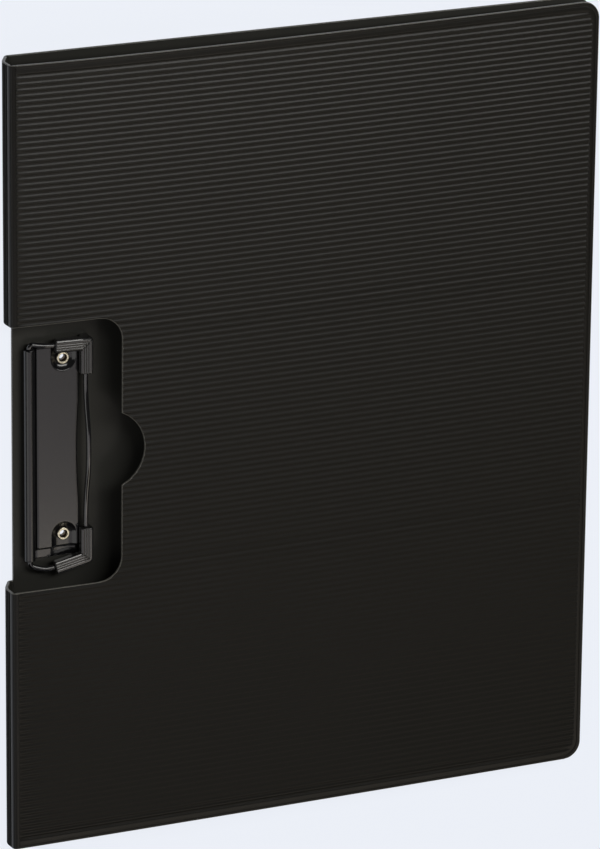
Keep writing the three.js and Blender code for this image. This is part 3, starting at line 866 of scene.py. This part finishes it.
def build_base_plate(clip):
    """The pressed plate: its section carried up the page, sunk round each eyelet in a dish that runs out at
    the plate's end, pressed flat at the foot, and drawn in at the waist by a circle's arc. The dish is
    flat under the eyelet's head and rises from there by the square of the distance."""
    line, deck_top = plate_section(clip)
    half = clip.plate_thickness / 2
    low, high = PLATE[0].y, PLATE[1].y
    y = np.concatenate([
        np.linspace(low + PLATE_EDGE, low + FOOT_SPAN, 62)[:-1],
        np.linspace(low + FOOT_SPAN, high - HEAD_SPAN, 40)[:-1],
        np.linspace(high - HEAD_SPAN, high - PLATE_EDGE, 48),
    ])
    upper, lower = (along_page(side, y) for side in sides_of(line[::-1], half))
    floor_drop = deck_top - (PLATE[0].z + clip.plate_thickness)
    middle = (low + high) / 2
    waist_radius = arc_radius(clip.waist_length, clip.waist_depth)
    groove_end = LEVER.x + (LEVER.z - PLATE[0].z)
    for face in (upper, lower):
        across, up = face[..., 0].copy(), face[..., 1].copy()
        for centre in EYELET_CENTRES:
            outer = (up - centre[1]) * np.sign(centre[1]) > 0
            away = np.hypot(across - centre[0], np.where(outer, 0, up - centre[1]))
            share = np.clip((away - clip.dish_floor) / (clip.recess_radius - clip.dish_floor), 0, 1)
            on_deck = smoothstep(deck_top - DISH_FADE[0], deck_top - DISH_FADE[1], face[..., 2])
            face[..., 2] -= floor_drop * (1 - share ** 2) * on_deck
        foot = 1 - smoothstep(low + clip.foot_length, low + clip.foot_length + FOOT_RISE, up)
        foot = foot * smoothstep(groove_end, groove_end + FOOT_SIDE, across)
        squash = 1 - foot * (1 - clip.plate_thickness / (deck_top - PLATE[0].z))
        face[..., 2] = PLATE[0].z + (face[..., 2] - PLATE[0].z) * squash
        arc = np.sqrt(np.maximum(waist_radius ** 2 - (up - middle) ** 2, 0))
        bow = np.maximum(arc - (waist_radius - clip.waist_depth), 0)
        right = across.max()
        face[..., 0] -= bow * smoothstep(right - WAIST_FADE[0], right - WAIST_FADE[1], across)
    keep, plain = marks(upper.shape, [])
    for centre in EYELET_CENTRES:
        keep = pierce(upper, lower, keep, centre, clip.bore + clip.eyelet_wall + BARREL_ROOM)
    lacquer = lacquered_steel("black_lacquered_steel", clip.plate_colour, 1.4 * MM, (0.1, 0.2), 0.15)
    obj = shell("pressed_plate", upper, lower, keep, plain, PLATE_EDGE, [lacquer] * 3)
    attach(obj, "back")
    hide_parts("base_plate")


def beyond(point, corner, length):
    """The point moved away from the corner by a length, in X and Y."""
    point, corner = np.array(point, float), np.array(corner, float)
    return point + unit(point - corner) * length


# Places of the lever's wire, counted from the front crease's axis, which the sleeves follow. The wire's arms
# start to bend this lead outside the sleeves, its bar has a low bow, and its bends reach these lengths.
SLEEVE_STARTS = {"upper_sleeve": (20 * MM, 42.2 * MM), "lower_sleeve": (19.8 * MM, -46 * MM)}
SLEEVE_CORNERS = {"upper_sleeve": (32.5 * MM, 41.9 * MM), "lower_sleeve": (32.4 * MM, -43.2 * MM)}
ARM_Y = (43.3 * MM, -44.7 * MM)
LEG_LENGTH = 24 * MM
ARM_RISE = 1.1 * MM
SLEEVE_REACH = 11.8 * MM
WIRE_LEAD = 3.3 * MM
BOW_HALF_LENGTH, BOW_RISE, BOW_OUT = 21 * MM, 2 * MM, 0.5 * MM
WIRE_BENDS = np.array([1.8, 3, 3, 7, 5.25, 5.25, 7, 3, 3, 1.8]) * MM


def wire_points():
    """The lever's centre line: a leg in the channel, an arm, the bar with its low bow, an arm and a leg."""
    hinge_x, hinge_z = LEVER.x - FRONT.x, LEVER.z
    level = hinge_z + ARM_RISE
    up, low = SLEEVE_CORNERS["upper_sleeve"], SLEEVE_CORNERS["lower_sleeve"]
    bar = (up[0] + low[0]) / 2
    bow, high, out = BOW_HALF_LENGTH, level + BOW_RISE, bar + BOW_OUT
    starts = [beyond(SLEEVE_STARTS[name], SLEEVE_CORNERS[name], WIRE_LEAD) for name in SLEEVES]
    corners = [
        (hinge_x, ARM_Y[0] - LEG_LENGTH, hinge_z),
        (hinge_x, ARM_Y[0], hinge_z),
        (*starts[0], level),
        (*up, level),
        (bar, bow, level),
        (out, bow / 3, high),
        (out, -bow / 3, high),
        (bar, -bow, level),
        (*low, level),
        (*starts[1], level),
        (hinge_x, ARM_Y[1], hinge_z),
        (hinge_x, ARM_Y[1] + LEG_LENGTH, hinge_z),
    ]
    return bent_line(corners, WIRE_BENDS, 14) + [FRONT.x, 0, 0]


def build_wire(clip):
    """The bent wire: a circle carried along its centre line, with ends rounded by a flattened half circle,
    0.4 of the radius high."""
    line = resampled(wire_points(), 0.5 * MM)
    along = unit(np.gradient(line, axis=0))
    side = unit(np.cross(along, [0.0, 0.0, 1.0]))
    lift = np.cross(side, along)
    angle = np.linspace(0, 2 * math.pi, 24, endpoint=False)
    radius = clip.wire_radius
    ring = side[:, None] * np.cos(angle)[:, None] + lift[:, None] * np.sin(angle)[:, None]
    turn = np.radians([82, 55, 28])
    back = radius * 0.4 * np.sin(turn)
    across = radius * np.cos(turn)
    starts = [line[0] - along[0] * b + ring[0] * a for b, a in zip(back, across)]
    ends = [line[-1] + along[-1] * b + ring[-1] * a for b, a in zip(back, across)][::-1]
    sections = np.concatenate([starts, line[:, None] + ring * radius, ends])
    lacquer = lacquered_steel("black_lacquered_wire", clip.wire_colour, 0.9 * MM, (0.1, 0.16), 1.0)
    obj = sweep("bent_wire", sections, lacquer)
    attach(obj, "lever")
    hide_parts("wire_lever")


# A sleeve's lower and upper corner radii, the chamfer below its top's edges, the grooves' places as shares
# of its width, the radii of its elbow's inner and outer side, and where its underside steps down, counted
# from the plate's right edge
SLEEVE_RADII = (0.35 * MM, 0.5 * MM)
CHAMFER = 0.45 * MM
CHAMFER_SLOPE = math.radians(24)
GROOVE_PLACES = (0.28, 0.46, 0.64)
ELBOW_RADII = (0.5 * MM, 1.6 * MM)
STEP_DOWN = (0.25 * MM, 0.45 * MM)


def sleeve_section(clip):
    """A sleeve's section as a share across and a share up: a rectangle rounded by four quarter circles. Each
    upper one is parted by a narrow chamfer, which its first points lie below and its last ones inside of.
    The top has three grooves that dip as one plus the cosine."""
    width, height = clip.sleeve_width, clip.sleeve_height
    corners = [(0, 0), (width, 0), (width, height), (0, height)]
    radii = np.repeat(SLEEVE_RADII, 2)
    turn = np.array([0, 0.25, 0.5, 0.75, 1, 1, 1, 1]) * (math.pi / 2 - CHAMFER_SLOPE)
    turn += np.array([0, 0, 0, 0, 0, 0, 0.5, 1]) * CHAMFER_SLOPE
    chamfer = CHAMFER * np.array([math.cos(CHAMFER_SLOPE), math.sin(CHAMFER_SLOPE)])
    reach = radii + np.array([0, 0, 1, 1]) * chamfer[0]
    top = np.linspace(width - reach[2], reach[3], 34)[1:-1]
    right = np.linspace(radii[1], height - radii[2] - chamfer[1], 5)[1:-1]
    left = np.linspace(height - radii[3] - chamfer[1], radii[0], 5)[1:-1]
    straights = [
        np.zeros((0, 2)),
        np.stack([np.full(3, width), right], axis=1),
        np.stack([top, np.full(len(top), height)], axis=1),
        np.stack([np.zeros(3), left], axis=1),
    ]
    loop = []
    for k, (x, z) in enumerate(corners):
        phase = math.pi + k * math.pi / 2 + turn
        centre = np.array([x, z]) + radii[k] * np.sign([width / 2 - x, height / 2 - z])
        arc = centre + radii[k] * circle(phase)
        if k == 2:
            arc[:5, 1] -= chamfer[1]
            arc[5:, 0] -= chamfer[0]
        if k == 3:
            arc = centre - radii[k] * np.stack([np.cos(turn[::-1]), -np.sin(turn[::-1])], axis=1)
            arc[3:, 1] -= chamfer[1]
            arc[:3, 0] += chamfer[0]
        loop.append(arc)
        loop.append(straights[k])
    loop = np.concatenate(loop)
    dip = np.zeros(len(loop))
    for share in GROOVE_PLACES:
        offset = (loop[:, 0] - share * width) / clip.groove_width
        dip = np.maximum(dip, clip.groove_depth * hollow(offset))
    loop[:, 1] -= np.where(loop[:, 1] > height - 0.05 * MM, dip, 0)
    return loop / [width, height]


def build_sleeve(name, clip):
    """A sleeve round a corner of the wire: its section carried between two plan curves, the inner and the
    outer side of the L, whose underside steps down beyond the plate by a smooth step in X."""
    start, corner = np.array(SLEEVE_STARTS[name]), np.array(SLEEVE_CORNERS[name])
    down = np.sign(corner[1])
    bar_end = corner - [0, down * SLEEVE_REACH]
    along_arm, along_bar = unit(corner - start), unit(bar_end - corner)
    turn = np.sign(along_arm[0] * along_bar[1] - along_arm[1] * along_bar[0])
    half = clip.sleeve_width / 2
    sides = []
    for offset, radius in zip((half, -half), ELBOW_RADII):
        arm_out = np.array([-along_arm[1], along_arm[0]]) * turn * offset
        bar_out = np.array([-along_bar[1], along_bar[0]]) * turn * offset
        share = 1 + float(along_arm @ along_bar)
        elbow = corner + (arm_out + bar_out) / share
        first = np.linspace(start + arm_out, elbow - along_arm * radius, 30)
        t = np.linspace(0, 1, 12)[1:-1, None]
        last = np.linspace(elbow + along_bar * radius, bar_end + bar_out, 30)
        sides.append(np.concatenate([first, quadratic(first[-1], elbow, last[0], t), last]))
    inner, outer = sides
    section = sleeve_section(clip)
    low, high = SLEEVES[name]
    plan = inner[:, None] + (outer - inner)[:, None] * section[None, :, :1]
    over_plate = PLATE[0].z + clip.sleeve_gap
    right = PLATE[1].x - FRONT.x
    step = smoothstep(right + STEP_DOWN[0], right + STEP_DOWN[1], plan[..., 0])
    bottom = over_plate + (low.z - over_plate) * step
    height = bottom + (high.z - bottom) * section[None, :, 1]
    points = np.stack([plan[..., 0] + FRONT.x, plan[..., 1], height], axis=-1)
    taper = np.array([0.86, 0.95, 0.99])
    ends = []
    for ring, order in ((points[0], 1), (points[-1], -1)):
        middle = ring.mean(0)
        ends.append([middle + (ring - middle) * k for k in taper[::order]])
    fall = np.array([0, 0.14, 0.24]) * MM
    firsts = [ring + [*(along_arm * f), 0] for ring, f in zip(ends[0], fall)]
    lasts = [ring - [*(along_bar * f), 0] for ring, f in zip(ends[1], fall[::-1])]
    sections = np.concatenate([firsts, points[1:-1], lasts])
    obj = sweep("grooved_" + name, sections, made_once(soft_vinyl, clip))
    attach(obj, "lever")
    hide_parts(name)


# An eyelet's head stands just off the dish. It is rolled over this width at its rim, flat up to this
# distance from it, and its funnel ends this far below its underside. Its tail is a half ellipse of this
# height, and small fillets join the barrel to both.
HEAD_ROOM = 0.02 * MM
HEAD_ROLL, HEAD_FLAT = 0.45 * MM, 0.95 * MM
FUNNEL_DEPTH = 0.3 * MM
TAIL_HEIGHT = 0.35 * MM
FILLET = 0.15 * MM


def build_eyelet(name, clip):
    """An eyelet turned about its axis: a rolled head, a barrel and a tail spread in the cover's seat. The
    head is a quarter ellipse at the rim, a flat ring, and a funnel that falls into the bore as one minus
    the cosine of the way."""
    low, high = EYELETS[name]
    centre = (low + high) / 2
    head = (high.x - low.x) / 2
    bore, barrel = clip.bore, clip.bore + clip.eyelet_wall
    head_bottom = PLATE[0].z + clip.plate_thickness + HEAD_ROOM
    rise = high.z - head_bottom
    tail = TAIL_HEIGHT
    t = np.linspace(0, math.pi / 2, 10)
    outer = [head - HEAD_ROLL, head_bottom] + circle(t) * [HEAD_ROLL, rise]
    s = np.linspace(0, 1, 16)
    fall = (rise + FUNNEL_DEPTH) * (1 - np.cos(math.pi * s)) / 2
    funnel = np.stack([head - HEAD_FLAT + (bore - head + HEAD_FLAT) * s, high.z - fall], axis=1)
    middle, half = (bore + head) / 2, (head - bore) / 2
    tail_t = np.linspace(math.pi, 2 * math.pi, 14)
    foot = [middle, tail] + circle(tail_t) * [half, tail]
    wall = np.linspace([bore, head_bottom - 0.4 * MM], [bore, tail + 0.1 * MM], 6)
    barrel_side = [
        (barrel + FILLET, tail),
        (barrel, tail + FILLET),
        (barrel, head_bottom - FILLET),
        (barrel + FILLET, head_bottom),
    ]
    profile = np.concatenate([outer, funnel, wall, foot, barrel_side])
    angle = np.linspace(0, 2 * math.pi, 72, endpoint=False)[:, None]
    x = centre.x + profile[:, 0] * np.cos(angle)
    y = centre.y + profile[:, 0] * np.sin(angle)
    points = np.stack([x, y, np.repeat(profile[None, :, 1], len(angle), axis=0)], axis=-1)
    turns, around = points.shape[:2]
    index = np.arange(turns * around).reshape(turns, around)
    onward, above = np.roll(index, -1, axis=1), np.roll(index, -1, axis=0)
    walls = np.stack([index, above, np.roll(above, -1, axis=1), onward], axis=-1).reshape(-1, 4)
    brass = made_once(nickel_plated_brass, clip)
    points = points.reshape(-1, 3)
    obj = new_piece("rolled_" + name, points, outward(points, [(walls, 0)]), [brass])
    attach(obj, "back")
    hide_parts(name)


# The stage

FLOOR_Z = -0.15 * MM


def lamp(name, place, aim, width, height, power, colour):
    """A rectangular soft lamp at a place, turned to its aim."""
    data = bpy.data.lights.new(name, "AREA")
    data.shape = "RECTANGLE"
    data.size, data.size_y = width, height
    data.energy = power
    data.color = linear(colour)[:3]
    obj = bpy.data.objects.new(name, data)
    obj.location = place
    obj.rotation_euler = (Vector(aim) - Vector(place)).to_track_quat("-Z", "Y").to_euler()
    bpy.context.scene.collection.objects.link(obj)


def build_floor(stage):
    """A wide plain floor just under the folder, which shows most of its colour evenly to the camera and in
    mirrored rays, and keeps the folder's shadow in the rest."""
    half = 15.0
    points = np.array([(-half, -half, 0), (half, -half, 0), (half, half, 0), (-half, half, 0)])
    points[:, 2] = FLOOR_Z
    constants = {"Base Color": stage.board_colour[:], "Roughness": 0.9, "Specular IOR Level": 0.0}
    material, tree, shader, _ = new_material("painted_board", constants)
    ray = add(tree, "ShaderNodeLightPath").outputs
    seen = ray["Is Camera Ray"]
    for mirrored in ("Is Glossy Ray", "Is Transmission Ray"):
        seen = add(tree, "ShaderNodeMath", {0: seen, 1: ray[mirrored]}, operation="MAXIMUM").outputs[0]
    share = add(tree, "ShaderNodeMath", {0: seen, 1: stage.evenness}, operation="MULTIPLY")
    even = add(tree, "ShaderNodeEmission", {"Color": stage.floor_colour[:], "Strength": 1.0})
    fields = {"Fac": share.outputs["Value"], 1: shader.outputs["BSDF"], 2: even.outputs["Emission"]}
    both = add(tree, "ShaderNodeMixShader", fields)
    tree.links.new(both.outputs["Shader"], tree.nodes["Material Output"].inputs["Surface"])
    floor = new_piece("floor", points, [(np.array([[0, 1, 2, 3]]), 0)], [material])


def build_camera(stage):
    """The camera at the photograph's angle, from the left of the folder and above the page's top."""
    yaw, pitch, roll = stage.yaw, stage.pitch, stage.roll
    forward = Vector(
        (math.sin(yaw) * math.cos(pitch), -math.sin(pitch), -math.cos(yaw) * math.cos(pitch))
    )
    level = Vector((math.cos(yaw), 0, math.sin(yaw)))
    fall = forward.cross(level)
    right = level * math.cos(roll) + fall * math.sin(roll)
    down = fall * math.cos(roll) - level * math.sin(roll)
    data = bpy.data.cameras.new("camera")
    data.sensor_width = 36
    data.lens = stage.lens
    data.clip_end = 100
    camera = bpy.data.objects.new("camera", data)
    place = Vector(stage.aim) - forward * stage.distance
    turn = Matrix((right, -down, -forward)).transposed().to_4x4()
    camera.matrix_world = Matrix.Translation(place) @ turn
    bpy.context.scene.collection.objects.link(camera)
    bpy.context.scene.camera = camera


# Operators

class CLIPFOLDER_OT_front_cover(bpy.types.Operator):
    """Builds the embossed front cover with its window and finger notch"""

    bl_idname = "clip_folder.front_cover"
    bl_label = "Front Cover"

    def execute(self, context):
        build_front_cover(context.scene.clip_folder_sheet, context.scene.clip_folder_window)
        return {"FINISHED"}


class CLIPFOLDER_OT_back_cover(bpy.types.Operator):
    """Builds the back cover with the eyelets' holes"""

    bl_idname = "clip_folder.back_cover"
    bl_label = "Back Cover"

    def execute(self, context):
        scene = context.scene
        build_back_cover(scene.clip_folder_sheet, scene.clip_folder_window, scene.clip_folder_clip)
        return {"FINISHED"}


class CLIPFOLDER_OT_spine(bpy.types.Operator):
    """Builds the two spine panels and the four creases beside them"""

    bl_idname = "clip_folder.spine"
    bl_label = "Spine and Creases"

    def execute(self, context):
        sheet = context.scene.clip_folder_sheet
        spans = {"upper": (WINDOW_TOP, HALF_HEIGHT), "lower": (-HALF_HEIGHT, WINDOW_BOTTOM)}
        for part, (low, high) in spans.items():
            build_spine(f"scored_spine_{part}", f"spine_{part}", low, high, sheet)
            for which in ("front", "rear"):
                build_crease(f"{which}_crease_{part}", which, low, high, sheet)
        return {"FINISHED"}


class CLIPFOLDER_OT_base_plate(bpy.types.Operator):
    """Builds the clip's pressed plate with its channel and recesses"""

    bl_idname = "clip_folder.base_plate"
    bl_label = "Base Plate"

    def execute(self, context):
        build_base_plate(context.scene.clip_folder_clip)
        return {"FINISHED"}


class CLIPFOLDER_OT_lever(bpy.types.Operator):
    """Builds the bent wire and the two sleeves on its corners"""

    bl_idname = "clip_folder.lever"
    bl_label = "Wire Lever and Sleeves"

    def execute(self, context):
        clip = context.scene.clip_folder_clip
        build_wire(clip)
        for name in SLEEVES:
            build_sleeve(name, clip)
        return {"FINISHED"}


class CLIPFOLDER_OT_eyelets(bpy.types.Operator):
    """Builds the two hollow rivets"""

    bl_idname = "clip_folder.eyelets"
    bl_label = "Eyelets"

    def execute(self, context):
        for name in EYELETS:
            build_eyelet(name, context.scene.clip_folder_clip)
        return {"FINISHED"}


class CLIPFOLDER_OT_stage(bpy.types.Operator):
    """Sets the floor, the lamps, the plain world and the camera"""

    bl_idname = "clip_folder.stage"
    bl_label = "Stage"

    def execute(self, context):
        stage = context.scene.clip_folder_stage
        build_floor(stage)
        build_camera(stage)
        lamp("page_top_strip", (0.3, 0.38, 0.72), (0.3, 0, 0), 0.9, 0.2, 3.6, "#fffdf9")
        lamp("left_softbox", (-1.5, -0.5, 1.05), (0, 0, 0), 1.0, 1.0, 3.4, "#fffefc")
        lamp("plate_card", (-0.35, -0.66, 1.75), (-0.35, 0, 0), 1.96, 0.5, 2.5, "#fff8fb")
        lamp("page_card", (0.85, -1.16, 1.75), (0.85, 0, 0), 1.3, 0.84, 4.7, "#fff4e2")
        world = bpy.data.worlds.new("plain_light")
        world.use_nodes = True
        background = world.node_tree.nodes["Background"]
        background.inputs["Color"].default_value = stage.world_colour[:]
        background.inputs["Strength"].default_value = stage.world_strength
        context.scene.world = world
        context.scene.view_settings.view_transform = "Standard"
        return {"FINISHED"}


OPERATORS = [
    CLIPFOLDER_OT_front_cover,
    CLIPFOLDER_OT_back_cover,
    CLIPFOLDER_OT_spine,
    CLIPFOLDER_OT_base_plate,
    CLIPFOLDER_OT_lever,
    CLIPFOLDER_OT_eyelets,
    CLIPFOLDER_OT_stage,
]


class CLIPFOLDER_PT_panel(bpy.types.Panel):
    """Lists the pieces and their settings"""

    bl_label = "Clip Folder"
    bl_idname = "CLIPFOLDER_PT_panel"
    bl_space_type = "VIEW_3D"
    bl_region_type = "UI"
    bl_category = "Clip Folder"

    def draw(self, context):
        for operator in OPERATORS:
            self.layout.operator(operator.bl_idname)
        for name in SETTINGS:
            box = self.layout.box()
            group = getattr(context.scene, name)
            for key in group.bl_rna.properties.keys():
                if key not in ("rna_type", "name"):
                    box.prop(group, key)


def register():
    for cls in [*SETTINGS.values(), *OPERATORS, CLIPFOLDER_PT_panel]:
        bpy.utils.register_class(cls)
    for name, group in SETTINGS.items():
        setattr(bpy.types.Scene, name, bpy.props.PointerProperty(type=group))


def unregister():
    for name in SETTINGS:
        delattr(bpy.types.Scene, name)
    for cls in reversed([*SETTINGS.values(), *OPERATORS, CLIPFOLDER_PT_panel]):
        bpy.utils.unregister_class(cls)


def main():
    register()
    bpy.ops.clip_folder.front_cover()
    bpy.ops.clip_folder.back_cover()
    bpy.ops.clip_folder.spine()
    bpy.ops.clip_folder.base_plate()
    bpy.ops.clip_folder.lever()
    bpy.ops.clip_folder.eyelets()
    bpy.ops.clip_folder.stage()


if __name__ == "__main__":
    main()
